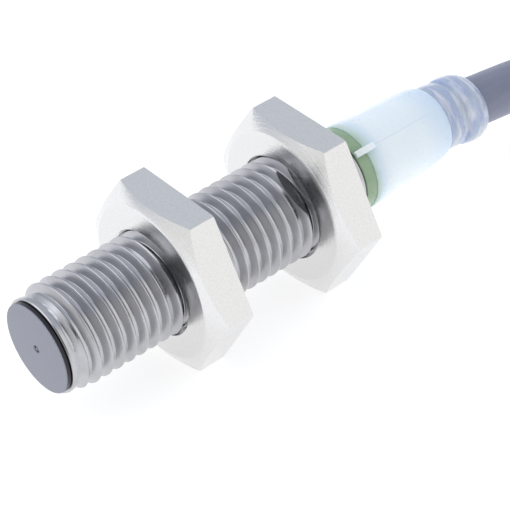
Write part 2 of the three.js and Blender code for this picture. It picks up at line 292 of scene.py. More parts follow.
class Nodes:
    """A material's shader and the patterns that feed it. Patterns are measured in millimetres on the piece."""

    def __init__(self, name: str) -> None:
        """Starts a material with a plain shader."""
        self.material = bpy.data.materials.new(name)
        self.material.use_nodes = True
        self.tree = self.material.node_tree
        self.shader = self.tree.nodes["Principled BSDF"]
        self.coordinates = self.tree.nodes.new("ShaderNodeTexCoord")

    def add(self, kind: str, **settings: object) -> bpy.types.Node:
        """Adds a node and sets its properties."""
        node = self.tree.nodes.new("ShaderNode" + kind)
        for key, value in settings.items():
            setattr(node, key, value)
        return node

    def feed(self, socket: Socket, value: object) -> None:
        """Links a socket to another, or sets its value."""
        if isinstance(value, Socket):
            self.tree.links.new(value, socket)
        else:
            socket.default_value = value

    def set(self, **values: object) -> None:
        """Sets or links the shader's sockets, named in lower case with underscores."""
        for key, value in values.items():
            label = " ".join(word.upper() if word == "ior" else word.capitalize() for word in key.split("_"))
            self.feed(self.shader.inputs[label], value)

    def place(self, stretch: Sequence[float] = (1, 1, 1), turn: Sequence[float] = (0, 0, 0)) -> Socket:
        """The piece's own coordinates in millimetres, stretched and turned."""
        node = self.add("Mapping", vector_type="POINT")
        node.inputs["Scale"].default_value = [share / MM for share in stretch]
        node.inputs["Rotation"].default_value = [math.radians(angle) for angle in turn]
        self.feed(node.inputs["Vector"], self.coordinates.outputs["Object"])
        return node.outputs[0]

    def math(self, operation: str, first: object, second: object = 0.0) -> Socket:
        """A sum, product or other operation on two values."""
        node = self.add("Math", operation=operation)
        self.feed(node.inputs[0], first)
        self.feed(node.inputs[1], second)
        return node.outputs[0]

    def split(self, vector: Socket) -> tuple[Socket, ...]:
        """A vector's three parts."""
        node = self.add("SeparateXYZ")
        self.feed(node.inputs[0], vector)
        return tuple(node.outputs)

    def join(self, x: object, y: object, z: object = 0.0) -> Socket:
        """A vector from three values."""
        node = self.add("CombineXYZ")
        for socket, value in zip(node.inputs, (x, y, z)):
            self.feed(socket, value)
        return node.outputs[0]

    def turned(self) -> Socket:
        """Coordinates in which marks run round the axis: distance from the axis, then place along it."""
        x, y, z = self.split(self.place())
        radius = self.math("SQRT", self.math("ADD", self.math("MULTIPLY", x, x), self.math("MULTIPLY", z, z)))
        return self.join(radius, y)

    def noise(self, vector: Socket, scale: float, detail: float = 2.0) -> Socket:
        """A noise pattern's factor."""
        node = self.add("TexNoise")
        self.feed(node.inputs["Vector"], vector)
        node.inputs["Scale"].default_value = scale
        node.inputs["Detail"].default_value = detail
        return node.outputs["Fac"]

    def ramp(self, factor: object, stops: Sequence[tuple[float, Colour]]) -> Socket:
        """A colour ramp."""
        node = self.add("ValToRGB")
        fill_ramp(node, stops)
        self.feed(node.inputs[0], factor)
        return node.outputs[0]

    def remap(self, value: object, low: float, high: float, to_low: float = 0.0, to_high: float = 1.0) -> Socket:
        """A value's range mapped onto another, and kept inside it."""
        node = self.add("MapRange", clamp=True)
        for socket, item in zip(node.inputs, (value, low, high, to_low, to_high)):
            self.feed(socket, item)
        return node.outputs[0]

    def blend(self, share: object, first: object, second: object) -> Socket:
        """A mix of two colours."""
        node = self.add("MixRGB")
        for socket, item in zip(node.inputs, (share, first, second)):
            self.feed(socket, (*item, 1) if isinstance(item, tuple) else item)
        return node.outputs[0]

    def relief(self, height: Socket, depth: float, strength: float = 1.0) -> None:
        """Raises a pattern on the surface by up to depth, in millimetres."""
        node = self.add("Bump")
        node.inputs["Strength"].default_value = strength
        node.inputs["Distance"].default_value = depth * MM
        self.feed(node.inputs["Height"], height)
        self.feed(self.shader.inputs["Normal"], node.outputs[0])


class Finish:
    """A recipe for a material. Its subclasses hold the settings and wire the shader."""

    name: str
    colour: Colour

    def make(self) -> bpy.types.Material:
        """Builds the material."""
        nodes = Nodes(self.name)
        self.paint(nodes)
        return nodes.material

    def paint(self, nodes: Nodes) -> None:
        """Wires the shader."""
        raise NotImplementedError

    def shade(self, share: float) -> Colour:
        """The finish's colour, made lighter or darker."""
        return tuple(share * channel for channel in self.colour)


@dataclass(frozen=True)
class PlatedNut(Finish):
    """Nickel plate over turned faces and drawn flats."""

    name: str = "nickel_plate"
    colour: Colour = (0.775, 0.77, 0.765)
    roughness: float = 0.17

    def paint(self, nodes: Nodes) -> None:
        """Wires the shader."""
        grain = nodes.noise(nodes.place(), 7.0, 3.0)
        drawn = nodes.noise(nodes.place((9, 0.5, 9), (0, 0, 38)), 1.0, 3.0)
        rings = nodes.noise(nodes.turned(), 14.0, 2.0)
        facing = nodes.math("ABSOLUTE", nodes.split(nodes.coordinates.outputs["Normal"])[1])
        on_face = nodes.remap(facing, 0.45, 0.8)
        flat_height = nodes.math("ADD", grain, nodes.math("MULTIPLY", drawn, 0.8))
        face_height = nodes.math("ADD", nodes.math("MULTIPLY", rings, 0.9), nodes.math("MULTIPLY", grain, 0.5))
        height = nodes.add("Mix", data_type="FLOAT")
        nodes.feed(height.inputs[0], on_face)
        nodes.feed(height.inputs[2], flat_height)
        nodes.feed(height.inputs[3], face_height)
        nodes.relief(height.outputs[0], 0.02, 0.6)
        stain = nodes.noise(nodes.place(), 9.0, 4.0)
        tarnish = self.shade(0.88)
        nodes.set(
            base_color=nodes.blend(nodes.remap(stain, 0.4, 0.7, 0.0, 0.6), self.colour, tarnish),
            metallic=1.0,
            roughness=nodes.remap(grain, 0.3, 0.7, self.roughness - 0.04, self.roughness + 0.08),
        )


@dataclass(frozen=True)
class RolledThread(Finish):
    """Satin metal with marks that run round the barrel. Its crests and spanner flats are smoother than its flanks."""

    name: str = "barrel_metal"
    colour: Colour = (0.51, 0.51, 0.53)
    roughness: float = 0.28
    smooth: float = 0.15

    def paint(self, nodes: Nodes) -> None:
        """Wires the shader."""
        rings = nodes.noise(nodes.turned(), 16.0, 3.0)
        grain = nodes.noise(nodes.place(), 9.0, 2.0)
        height = nodes.math("ADD", rings, nodes.math("MULTIPLY", grain, 0.6))
        nodes.relief(height, 0.012, 0.5)
        dirt = nodes.noise(nodes.place((0.6, 1.2, 0.6)), 1.0, 5.0)
        slope = nodes.math("ABSOLUTE", nodes.split(nodes.coordinates.outputs["Normal"])[1])
        dull = self.shade(0.84)
        nodes.set(
            base_color=nodes.blend(nodes.remap(dirt, 0.42, 0.72, 0.0, 0.8), self.colour, dull),
            metallic=1.0,
            roughness=nodes.remap(slope, 0.02, 0.25, self.smooth, self.roughness),
        )


@dataclass(frozen=True)
class SensingPlastic(Finish):
    """Matt blue-grey moulding whose side, behind the face, is glossier and painted near-black as painted shade."""

    name: str = "sensing_plastic"
    colour: Colour = (0.28, 0.292, 0.345)
    # Painted shade: the near-black colour of the side behind the face.
    edge: Colour = (0.012, 0.012, 0.02)
    painted_shade_from: float = 0.04

    def paint(self, nodes: Nodes) -> None:
        """Wires the shader."""
        fleck = nodes.noise(nodes.place(), 11.0, 2.0)
        cloud = nodes.noise(nodes.place(), 0.9, 3.0)
        light = self.shade(1.14)
        dark = self.shade(0.88)
        face = nodes.blend(nodes.remap(fleck, 0.35, 0.65), dark, light)
        face = nodes.blend(nodes.remap(cloud, 0.3, 0.7, 0.0, 0.35), face, self.colour)
        along = nodes.split(nodes.place())[1]
        # Mask of the side behind the face, where the painted shade goes.
        in_painted_shade = nodes.remap(along, self.painted_shade_from, self.painted_shade_from + 0.04)
        nodes.relief(nodes.math("ADD", fleck, nodes.math("MULTIPLY", cloud, 0.5)), 0.01, 0.35)
        nodes.set(
            base_color=nodes.blend(in_painted_shade, face, self.edge),
            roughness=nodes.remap(in_painted_shade, 0.0, 1.0, 0.5, 0.3),
            specular_ior_level=0.4,
        )


@dataclass(frozen=True)
class Plastic(Finish):
    """A plain moulded plastic: fine texture, faint clouding and some light going in."""

    name: str
    colour: Colour
    roughness: float = 0.4
    glow: float = 0.0
    clear: float = 0.0
    coat: float = 0.0
    texture: float = 6.0
    depth: float = 0.01

    def paint(self, nodes: Nodes) -> None:
        """Wires the shader."""
        texture = nodes.noise(nodes.place(), self.texture, 2.0)
        cloud = nodes.noise(nodes.place(), 0.8, 3.0)
        shade = self.shade(0.86)
        nodes.relief(texture, self.depth, 0.4)
        nodes.set(
            base_color=nodes.blend(nodes.remap(cloud, 0.35, 0.7), self.colour, shade),
            roughness=nodes.remap(texture, 0.3, 0.7, self.roughness - 0.04, self.roughness + 0.06),
            subsurface_weight=self.glow,
            subsurface_radius=(MM, MM, MM),
            subsurface_scale=1.0,
            transmission_weight=self.clear,
            coat_weight=self.coat,
            coat_roughness=0.1,
        )


@dataclass(frozen=True)
class MilkyCap(Finish):
    """Milky plastic that is clear over the sleeve and turns bluer toward the cable, with a faint blue painted glow from
    emission.
    """

    name: str = "milky_cap"
    front: float = 28.4
    rear: float = 36.9
    # Strength of the painted glow, a blue emission over the whole cap.
    glow: float = 0.14
    seam_angle: float = 55.0
    seam_from: float = 29.4
    tab_from: float = 3.44
    seam: Colour = (0.66, 0.75, 0.88)
    tab: Colour = (0.88, 0.90, 0.91)
    stops: tuple[tuple[float, Colour], ...] = (
        (0.0, (0.36, 0.50, 0.36)), (0.045, (0.50, 0.62, 0.54)), (0.09, (0.62, 0.74, 0.86)),
        (0.16, (0.80, 0.86, 0.93)), (0.3, (0.84, 0.91, 0.97)), (0.62, (0.82, 0.90, 0.98)), (0.86, (0.66, 0.77, 0.95)),
        (1.0, (0.56, 0.68, 0.93)),
    )

    def paint(self, nodes: Nodes) -> None:
        """Wires the shader."""
        place = nodes.place()
        along = nodes.split(place)[1]
        wander = nodes.math("MULTIPLY", nodes.math("SUBTRACT", nodes.noise(place, 0.35, 3.0), 0.5), 1.2)
        share = nodes.remap(nodes.math("ADD", along, wander), self.front, self.rear)
        swirl = nodes.noise(nodes.place((1, 0.4, 1), (20, 0, 0)), 0.45, 2.0)
        fine = nodes.noise(place, 5.0, 2.0)
        milk = nodes.blend(nodes.remap(swirl, 0.35, 0.75, 0.0, 0.3), nodes.ramp(share, self.stops), (0.80, 0.88, 0.96))
        outward, _, across = nodes.split(nodes.place((1, 1, 1), (0, self.seam_angle, 0)))
        thin = nodes.remap(nodes.math("ABSOLUTE", across), 0.02, 0.06, 0.6, 0.0)
        tab_side = nodes.math("GREATER_THAN", outward, 0.0)
        behind_tab = nodes.math("MULTIPLY", tab_side, nodes.math("GREATER_THAN", along, self.seam_from))
        on_seam = nodes.math("MULTIPLY", thin, behind_tab)
        on_tab = nodes.math("GREATER_THAN", outward, self.tab_from)
        nodes.relief(fine, 0.002, 0.3)
        nodes.set(
            base_color=nodes.blend(on_tab, nodes.blend(on_seam, milk, self.seam), self.tab),
            roughness=nodes.remap(fine, 0.3, 0.7, 0.26, 0.36),
            subsurface_weight=0.5,
            subsurface_radius=(1.2 * MM, 1.4 * MM, 1.8 * MM),
            subsurface_scale=1.0,
            coat_weight=0.3,
            coat_roughness=0.15,
            # Painted glow: the cap gives off faint blue light, though it is no lamp.
            emission_color=(0.55, 0.78, 1.0, 1),
            emission_strength=self.glow,
        )


@dataclass(frozen=True)
class MottledPlastic(Finish):
    """Clear soft plastic that looks blue-grey, with whitish and greenish flecks painted where it bends light: painted
    highlights and painted green reflections.
    """

    name: str = "clear_grommet"
    colour: Colour = (0.40, 0.475, 0.67)
    # Painted highlight: the colour of the whitish flecks.
    pale: Colour = (0.74, 0.76, 0.84)
    # Painted reflection: the colour of the greenish flecks.
    green: Colour = (0.44, 0.54, 0.56)

    def paint(self, nodes: Nodes) -> None:
        """Wires the shader."""
        painted_highlight_patch = nodes.noise(nodes.place((0.45, 1.5, 0.45)), 1.0, 4.0)
        painted_reflection_fringe = nodes.noise(nodes.place((0.4, 2.2, 0.4)), 0.9, 3.0)
        # The whitish flecks are painted highlights and the greenish ones painted reflections.
        colour = nodes.blend(nodes.remap(painted_highlight_patch, 0.46, 0.66, 0.0, 0.9), self.colour, self.pale)
        colour = nodes.blend(nodes.remap(painted_reflection_fringe, 0.52, 0.7, 0.0, 0.7), colour, self.green)
        nodes.relief(painted_highlight_patch, 0.08, 0.3)
        nodes.set(
            base_color=colour,
            roughness=nodes.remap(painted_highlight_patch, 0.4, 0.6, 0.28, 0.16),
            subsurface_weight=0.4,
            subsurface_radius=(MM, MM, 1.3 * MM),
            subsurface_scale=1.0,
            coat_weight=0.6,
            coat_roughness=0.08,
        )


@dataclass(frozen=True)
class Jacket(Finish):
    """Satin dark grey cable jacket with faint paler streaks along its length."""

    name: str = "cable_jacket"
    colour: Colour = (0.215, 0.23, 0.315)
    roughness: float = 0.42

    def paint(self, nodes: Nodes) -> None:
        """Wires the shader."""
        grain = nodes.noise(nodes.place(), 6.0, 3.0)
        streak = nodes.noise(nodes.place((3.0, 0.12, 3.0)), 1.0, 3.0)
        pale = self.shade(1.1)
        nodes.relief(nodes.math("ADD", grain, nodes.math("MULTIPLY", streak, 0.2)), 0.01, 0.4)
        nodes.set(
            base_color=nodes.blend(nodes.remap(streak, 0.4, 0.75, 0.0, 0.8), self.colour, pale),
            roughness=nodes.remap(grain, 0.3, 0.7, self.roughness - 0.05, self.roughness + 0.08),
            sheen_weight=0.1,
        )


@dataclass(frozen=True)
class BareMetal(Finish):
    """Drawn wire, winding or soldered tin."""

    name: str
    colour: Colour
    roughness: float = 0.3
    bands: float = 3.0

    def paint(self, nodes: Nodes) -> None:
        """Wires the shader."""
        wave = nodes.add("TexWave", bands_direction="Y")
        nodes.feed(wave.inputs["Vector"], nodes.place())
        wave.inputs["Scale"].default_value = self.bands
        wave.inputs["Distortion"].default_value = 0.4
        nodes.relief(wave.outputs["Fac"], 0.05, 0.6)
        worn = self.shade(0.8)
        nodes.set(
            base_color=nodes.blend(nodes.noise(nodes.place(), 2.0, 3.0), self.colour, worn),
            metallic=1.0,
            roughness=self.roughness,
        )


@dataclass(frozen=True)
class Backdrop(Finish):
    """The plain pale floor, lit from behind so that shadows stay faint."""

    name: str = "pale_floor"
    colour: Colour = (0.45, 0.45, 0.455)
    backlight: float = 0.76

    def paint(self, nodes: Nodes) -> None:
        """Wires the shader."""
        cloud = nodes.noise(nodes.place(), 0.01, 2.0)
        tint = self.shade(0.99)
        nodes.set(
            base_color=nodes.blend(cloud, self.colour, tint),
            roughness=0.9,
            specular_ior_level=0.1,
            emission_color=(1, 1, 1, 1),
            emission_strength=self.backlight,
        )


# Studio ---------------------------------------------------------------------------------------------------------------


@dataclass
class Viewpoint:
    """Where the camera stands, as angles about the sensor and a distance from its middle."""

    azimuth: float = 50.67
    elevation: float = 40.28
    roll: float = -2.77
    distance: float = 133.1
    middle: Vector = field(default_factory=lambda: Vector((0, 18, 0)))
    slide: tuple[float, float] = (1.08, -1.73)
    lens: float = 131.27

    def directions(self) -> tuple[Vector, Vector, Vector]:
        """The picture's right, its up, and the way back from the sensor to the camera."""
        around, above, roll = (math.radians(angle) for angle in (self.azimuth, self.elevation, self.roll))
        back = Vector(
            (math.sin(around) * math.cos(above), -math.cos(around) * math.cos(above), math.sin(above))
        )
        right = Vector((math.cos(around), math.sin(around), 0))
        up = back.cross(right)
        return right * math.cos(roll) + up * math.sin(roll), up * math.cos(roll) - right * math.sin(roll), back

    def place(self) -> bpy.types.Object:
        """Puts the camera in the scene."""
        right, up, back = self.directions()
        spot = self.middle + right * self.slide[0] + up * self.slide[1] + back * self.distance
        lens = bpy.data.cameras.new("camera")
        lens.lens = self.lens
        lens.clip_start = 0.005
        lens.clip_end = 20
        camera = bpy.data.objects.new("camera", lens)
        camera.matrix_world = Matrix.Translation(spot * MM) @ Matrix((right, up, back)).transposed().to_4x4()
        bpy.context.scene.collection.objects.link(camera)
        bpy.context.scene.camera = camera
        return camera


@dataclass
class Studio:
    """A white tent that is dimmer overhead, with a dark opening for the camera, on a pale floor."""

    opening: Vector
    right: float = 1.08
    front: Colour = (1.4, 1.32, 1.2)
    overhead: Colour = (0.66, 0.70, 0.77)
    floor_size: float = 1600.0

    def build(self) -> None:
        """Builds the tent, its lamp and the floor."""
        self.tent()
        self.lamp("key_lamp", Vector((-130, -130, 320)), 400, 0.5)
        solid = bmesh.new()
        bmesh.ops.create_grid(solid, x_segments=1, y_segments=1, size=self.floor_size / 2)
        bmesh.ops.translate(solid, vec=(0, 0, SURFACE), verts=solid.verts)
        bmesh.ops.scale(solid, vec=(MM, MM, MM), verts=solid.verts)
        floor = loose_object(solid, "floor")
        floor.data.materials.append(Backdrop().make())
        bpy.context.scene.view_settings.view_transform = "Standard"

    def lamp(self, name: str, spot: Vector, width: float, power: float) -> None:
        """A soft square lamp that looks at the sensor."""
        light = bpy.data.lights.new(name, "AREA")
        light.size = width * MM
        light.energy = power
        lamp = bpy.data.objects.new(name, light)
        lamp.matrix_world = Matrix.Translation(spot * MM) @ spot.to_track_quat("Z", "Y").to_matrix().to_4x4()
        bpy.context.scene.collection.objects.link(lamp)

    def tent(self) -> None:
        """The light that comes from all round, by direction."""
        world = bpy.data.worlds.new("tent")
        bpy.context.scene.world = world
        world.use_nodes = True
        tree = world.node_tree
        tree.nodes.clear()
        aim = tree.nodes.new("ShaderNodeTexCoord").outputs["Generated"]
        blue = self.overhead
        light = self.toward(tree, aim, (1, 0.45, 0.1), [(0.0, blue), (0.55, blue), (0.85, (self.right,) * 3)], None)
        light = self.toward(tree, aim, (0, -1, 0.0), [(0.6, (1, 1, 1)), (0.95, self.front)], light)
        dark = (0.04, 0.04, 0.045)
        light = self.toward(tree, aim, self.opening, [(0.89, (1, 1, 1)), (0.945, dark)], light)
        light = self.toward(tree, aim, (0.86, -0.48, 0.19), [(0.93, (1, 1, 1)), (0.97, dark)], light)
        background = tree.nodes.new("ShaderNodeBackground")
        tree.links.new(light, background.inputs["Color"])
        output = tree.nodes.new("ShaderNodeOutputWorld")
        tree.links.new(background.outputs[0], output.inputs["Surface"])

    @staticmethod
    def toward(
        tree: bpy.types.NodeTree,
        aim: Socket,
        centre: Sequence[float],
        stops: Sequence[tuple[float, Colour]],
        light: Socket | None,
    ) -> Socket:
        """Changes the tent's light toward one direction.

        Args:
            tree: The world's node tree.
            aim: The direction that is looked in.
            centre: The direction that the change is about.
            stops: Colours by the cosine of the angle from the centre.
            light: The light so far, or None at the start.

        Returns:
            The changed light.
        """
        cosine = tree.nodes.new("ShaderNodeVectorMath")
        cosine.operation = "DOT_PRODUCT"
        cosine.inputs[1].default_value = Vector(centre).normalized()
        tree.links.new(aim, cosine.inputs[0])
        node = tree.nodes.new("ShaderNodeValToRGB")
        fill_ramp(node, stops)
        tree.links.new(cosine.outputs["Value"], node.inputs[0])
        if light is None:
            return node.outputs[0]
        product = tree.nodes.new("ShaderNodeMix")
        product.data_type = "RGBA"
        product.blend_type = "MULTIPLY"
        product.inputs["Factor"].default_value = 1
        tree.links.new(light, product.inputs[6])
        tree.links.new(node.outputs[0], product.inputs[7])
        return product.outputs[2]


# Cable ----------------------------------------------------------------------------------------------------------------


@dataclass
class Cable:
    """The cable: out of the grommet, down to the surface, and into a tied hank of two columns of turns."""

    diameter: float = 4.0
    length: float = 2.0
    near: float = 84.0
    far: float = 134.0
    middle: float = 10.0
    outer_loop: float = 16.0
    inner_loop: float = 12.0
    outer_waist: float = 6.0
    inner_waist: float = 2.0
    over_strap: float = 1.4
    step: float = 1.5
    jacket_end: float = 104.0
    layers: int = 5
    route: tuple[Corner, ...] = (
        (0, 33, 0), (0, 36, 0), (0, 37, 0), (0, 38, -0.077), (0, 40, -0.357), (0, 41.5, -0.567), (0.02, 43.3, -0.82),
        (0.03, 45, -1.06), (0.05, 46.8, -1.33), (0.05, 49, -1.75), (0, 51, -2.22), (-0.15, 53, -2.74),
        (-0.45, 55, -3.27), (-0.95, 57.3, -3.8), (-1.7, 60, -4.22), (-2.65, 63, -4.45), (-3.65, 66, -4.5),
        (-4.55, 69, -4.5), (-5.3, 71.8, -4.5),
    )

    def columns(self) -> list[tuple[int, int]]:
        """Column (0 outer, 1 inner) and layer of each turn: out, in, up, out, up, in, and so on."""
        turns = []
        for layer in range(self.layers):
            pair = [(0, layer), (1, layer)]
            turns += pair if layer % 2 == 0 else pair[::-1]
        return turns

    def side(self, column: float, y: float) -> float:
        """How far a run lies from the hank's middle line, narrowing at the waist."""
        loop = self.outer_loop + (self.inner_loop - self.outer_loop) * column
        waist = self.outer_waist + (self.inner_waist - self.outer_waist) * column
        along = min(1.0, max(0.0, (y - self.near) / (self.far - self.near)))
        return loop + (waist - loop) * (0.5 - 0.5 * math.cos(FULL_TURN * along))

    def spot(self, travelled: float, column: float, layer: float) -> Vector:
        """A point of a turn, by how far the turn has gone: left run, far loop, right run, near loop."""
        run, half = self.far - self.near, math.pi * (self.outer_loop + self.inner_loop) / 2
        loop = self.outer_loop + (self.inner_loop - self.outer_loop) * column
        if travelled < run:
            y = self.near + travelled
            x = -self.side(column, y)
        elif travelled < run + half:
            angle = math.pi * (1 - (travelled - run) / half)
            x, y = loop * math.cos(angle), self.far + loop * math.sin(angle)
        elif travelled < 2 * run + half:
            y = self.far - (travelled - run - half)
            x = self.side(column, y)
        else:
            angle = -math.pi * (travelled - 2 * run - half) / half
            x, y = loop * math.cos(angle), self.near + loop * math.sin(angle)
        lift = self.over_strap * math.exp(-(((y - (self.near + self.far) / 2) / 12) ** 2))
        return Vector((self.middle + x, y, SURFACE + self.diameter * (layer + 0.5) + lift))

    def hank(self) -> list[Vector]:
        """The centreline of the turns. Each turn changes column or layer near its end, and a later turn sooner."""
        run, half = self.far - self.near, math.pi * (self.outer_loop + self.inner_loop) / 2
        whole = 2 * (run + half)
        change, last_change, sooner = 26.0, whole - half + 32.0, 5.5
        turns = self.columns()
        points = []
        for index, here in enumerate(turns):
            final = index == len(turns) - 1
            end = run + half + (self.far - self.jacket_end) if final else whole
            travelled = 0.0
            while travelled < end:
                place = [float(item) for item in here]
                for number, ahead in ((index, 0.0), (index - 1, whole)):
                    if not 0 <= number < len(turns) - 1:
                        continue
                    centre = last_change - sooner * number - ahead
                    share = min(1.0, max(0.0, (travelled - centre) / change + 0.5))
                    share = 0.5 - 0.5 * math.cos(math.pi * share)
                    if ahead:
                        share -= 1
                    for axis in (0, 1):
                        place[axis] += (turns[number + 1][axis] - turns[number][axis]) * share
                points.append(self.spot(travelled, *place))
                travelled += self.step
        return points

    def build(self, pieces: list[bpy.types.Object]) -> bpy.types.Object:
        """Args:
            pieces: The tie, the leads and their tips, which lie on it. Not used.

        Returns:
            The cable.
        """
        points = smooth_line([Vector(point) for point in self.route], 6) + self.hank()
        cable = strand("cable_run", points, self.diameter, Jacket().make(), sides=6)
        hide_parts("cable", "cable_hank")
        return cable


def smooth_line(points: Sequence[Vector], steps: int) -> list[Vector]:
    """A smooth curve through points, with the given steps between two of them."""
    line = []
    padded = [points[0] * 2 - points[1], *points, points[-1] * 2 - points[-2]]
    for a, b, c, d in zip(padded, padded[1:], padded[2:], padded[3:]):
        for step in range(steps):
            t = step / steps
            bend = (2 * a - 5 * b + 4 * c - d) * t**2
            line.append(0.5 * (2 * b + (c - a) * t + bend + (3 * b - a - 3 * c + d) * t**3))
    return [*line, points[-1].copy()]


def strand(
    name: str, points: Sequence[Vector], diameter: float, material: bpy.types.Material, sides: int = 4
) -> bpy.types.Object:
    """A round strand along a line, in millimetres, riding on the sensor.

    Args:
        name: The piece's name.
        points: The centreline.
        diameter: The strand's diameter.
        material: Its finish.
        sides: How finely its section is rounded.

    Returns:
        The strand, a curve of one open spline.
    """
    curve = bpy.data.curves.new(name, "CURVE")
    curve.dimensions = "3D"
    curve.bevel_depth = diameter / 2 * MM
    curve.bevel_resolution = sides
    curve.use_fill_caps = True
    spline = curve.splines.new("POLY")
    spline.points.add(len(points) - 1)
    for target, point in zip(spline.points, points):
        target.co = (*(point * MM), 1)
    spline.use_smooth = True
    curve.materials.append(material)
    thing = bpy.data.objects.new(name, curve)
    bpy.context.scene.collection.objects.link(thing)
    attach(thing, Body.SENSOR.value)
    LOG.info("%s: %d points", name, len(points))
    return thing


@dataclass
class CableEnd:
    """The tie round the hank, and the stripped cores that lie on it."""

    cable: Cable
    core: float = 1.1
    tip: float = 0.6
    strap: float = 1.0
    strap_width: float = 4.8
    colours: tuple[tuple[str, float, Colour], ...] = (
        ("brown", -1.0, (0.14, 0.045, 0.02)), ("blue", 0.0, (0.02, 0.09, 0.40)),
        ("black", 1.0, (0.013, 0.013, 0.015)),
    )

    def leads(self) -> list[bpy.types.Object]:
        """The three cores, from the jacket's end to their tinned tips."""
        start_x = self.cable.middle + self.cable.side(1, self.cable.jacket_end)
        top = SURFACE + self.cable.diameter * self.cable.layers + self.core / 2
        inside = top - self.core / 2 - self.cable.diameter / 2 + 0.5
        y = self.cable.jacket_end
        made = []
        for colour, side, paint in self.colours:
            route = [
                Vector((start_x - 0.4 + side * 1.0, y + 3, inside - abs(side) * 0.4)),
                Vector((start_x + side * 1.0, y + 0.4, inside - abs(side) * 0.4)),
                Vector((start_x + 0.6 + side * 1.2, y - 2.5, inside + 0.9)),
                Vector((start_x + 1.2 + side * 1.6, y - 6, top - 0.1)),
                Vector((start_x + 1.6 + side * 2.4, y - 12, top)),
                Vector((start_x + 1.2 + side * 3.4, y - 19, top)),
                Vector((start_x + 0.6 + side * 4.0, y - 26, top)),
            ]
            finish = Plastic("core_" + colour, paint, roughness=0.35, coat=0.2, texture=8)
            lead = strand("lead_wire_" + colour, smooth_line(route, 6), self.core, finish.make())
            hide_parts("lead_" + colour)
            lean = (route[-1] - route[-2]).normalized()
            tip = strand(
                "lead_tip_" + colour, self.tinned(route[-1] - lean, lean), self.tip,
                BareMetal("tin_" + colour, (0.62, 0.62, 0.64), 0.3, 2.0).make(),
            )
            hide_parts("tip_" + colour)
            made += [lead, tip]
        return made

    def tinned(self, start: Vector, lean: Vector) -> list[Vector]:
        """The centreline of a tinned end, which droops onto the cable under it."""
        drop = (self.core - self.tip) / 2
        return [start + lean * (0.5 * step) - Vector((0, 0, drop * min(1, step / 8))) for step in range(14)]

    def tie(self) -> bpy.types.Object:
        """The strap with its teeth, and the locking head."""
        cable = self.cable
        middle_y = (cable.near + cable.far) / 2
        half = cable.outer_waist + cable.diameter / 2 + 0.3
        low, high = SURFACE, SURFACE + cable.diameter * cable.layers + 2 * self.strap + 0.6
        size = (2 * (half + self.strap), self.strap_width, high - low)
        place = Matrix.Translation((cable.middle, middle_y, (high + low) / 2))
        outer = block(size, place, 0.0)
        along = lengthwise(outer, self.strap_width / 2)
        round_edges(outer, along, 2.2, 6)
        inner = block((size[0] - 2 * self.strap, self.strap_width * 2, size[2] - 2 * self.strap), place)
        along = lengthwise(inner, self.strap_width / 2)
        round_edges(inner, along, 1.3, 6)
        strap = carve(outer, inner, Cut.REMOVE)
        head_x = cable.middle + half + self.strap / 2 + 2
        head = block((4, 6.6, 6), Matrix.Translation((head_x, middle_y, (low + high) / 2)), 0.5)
        slot_place = Matrix.Translation((head_x + 0.3, middle_y, (low + high) / 2))
        head = carve(head, block((1.6, 4.9, 8), slot_place), Cut.REMOVE)
        head = carve(head, block((1.2, 4.6, 9), slot_place, 0.2), Cut.JOIN)
        strap = carve(strap, head, Cut.JOIN)
        nylon = Plastic("tie_nylon", (0.80, 0.80, 0.77), roughness=0.35, glow=0.3, texture=3)
        return piece(strap, "cable_tie", nylon.make(), replaces="hank_tie")


# Sensor ---------------------------------------------------------------------------------------------------------------


